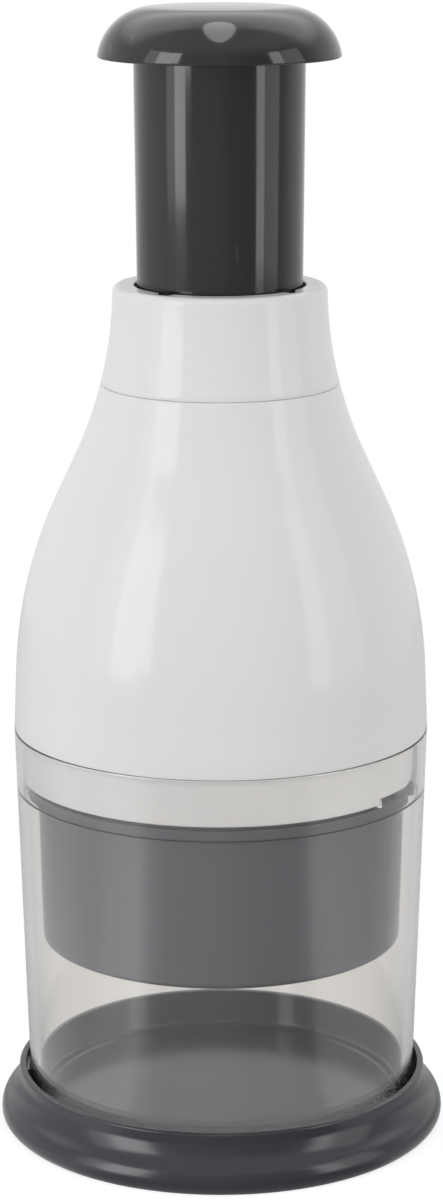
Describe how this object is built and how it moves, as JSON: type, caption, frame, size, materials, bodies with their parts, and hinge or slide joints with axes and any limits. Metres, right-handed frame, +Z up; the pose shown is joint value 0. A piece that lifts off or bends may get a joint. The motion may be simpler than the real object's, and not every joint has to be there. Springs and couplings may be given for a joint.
{
  "type": "plunger food chopper",
  "caption": "Plunger food chopper: pressing the domed knob drives turning zigzag blades down through a clear sleeve onto food in a dished base, and a spring lifts them back.",
  "frame": {"origin": "centre of the face that the base stands on", "axes": "+Z up along the plunger's axis, -Y towards the front seen in the picture, +X to its right"},
  "size_m": [0.0966, 0.0966, 0.2403],
  "materials": {
    "white_plastic": "gloss",
    "dark_plastic": "gloss",
    "cup_plastic": "satin",
    "clear_plastic": "clear",
    "inner_plastic": "matte",
    "blade_steel": "brushed",
    "rod_steel": "bright",
    "bumper_rubber": "matte"
  },
  "bodies": {
    "base": {"base_cap": "dark_plastic"},
    "sleeve": {"clear_sleeve": "clear_plastic"},
    "housing": {"upper_housing": "white_plastic", "neck_collar": "white_plastic", "guide_insert": "inner_plastic", "fixed_crown": "inner_plastic", "housing_screws": "rod_steel", "travel_bumper": "bumper_rubber", "spring_seat": "rod_steel", "guard_cup": "cup_plastic"},
    "plunger": {"plunger_knob": "dark_plastic", "plunger_tube": "dark_plastic", "knob_nut": "rod_steel", "drive_rod": "rod_steel", "thrust_washer": "rod_steel", "retaining_clip": "rod_steel", "spring_cap": "rod_steel", "return_spring": "rod_steel"},
    "rotor": {"blade_carrier": "inner_plastic", "clamp_plate": "blade_steel", "clamp_screws": "rod_steel", "rotor_crown": "inner_plastic", "centre_blade": "blade_steel", "rear_blade": "blade_steel", "front_blade": "blade_steel"},
    "stripper": {"stripper_disc": "cup_plastic"}
  },
  "joints": [
    {"name": "sleeve_lift", "type": "slide", "parent": "base", "child": "sleeve", "axis": [0, 0, 1], "range_m": [0, 0.06]},
    {"name": "housing_twist", "type": "hinge", "parent": "sleeve", "child": "housing", "pos_m": [0, 0, 0.0785], "axis": [0, 0, -1], "range_deg": [0, 20]},
    {"name": "plunger_press", "type": "slide", "parent": "housing", "child": "plunger", "axis": [0, 0, -1], "range_m": [0, 0.0395], "stiffness_N_per_m": 350, "springref_m": -0.02, "deforming": ["return_spring"]},
    {"name": "blade_index", "type": "hinge", "parent": "plunger", "child": "rotor", "pos_m": [0, 0, 0.0875], "axis": [0, 0, 1], "range_deg": [0, 30]},
    {"name": "stripper_turn", "type": "hinge", "parent": "housing", "child": "stripper", "pos_m": [0, 0, 0.0428], "axis": [0, 0, 1], "range_deg": [0, 30]}
  ],
  "couplings": [
    {"joint": "blade_index", "follows": "plunger_press", "rad_per_m": 13.25},
    {"joint": "stripper_turn", "follows": "plunger_press", "rad_per_m": 13.25}
  ]
}
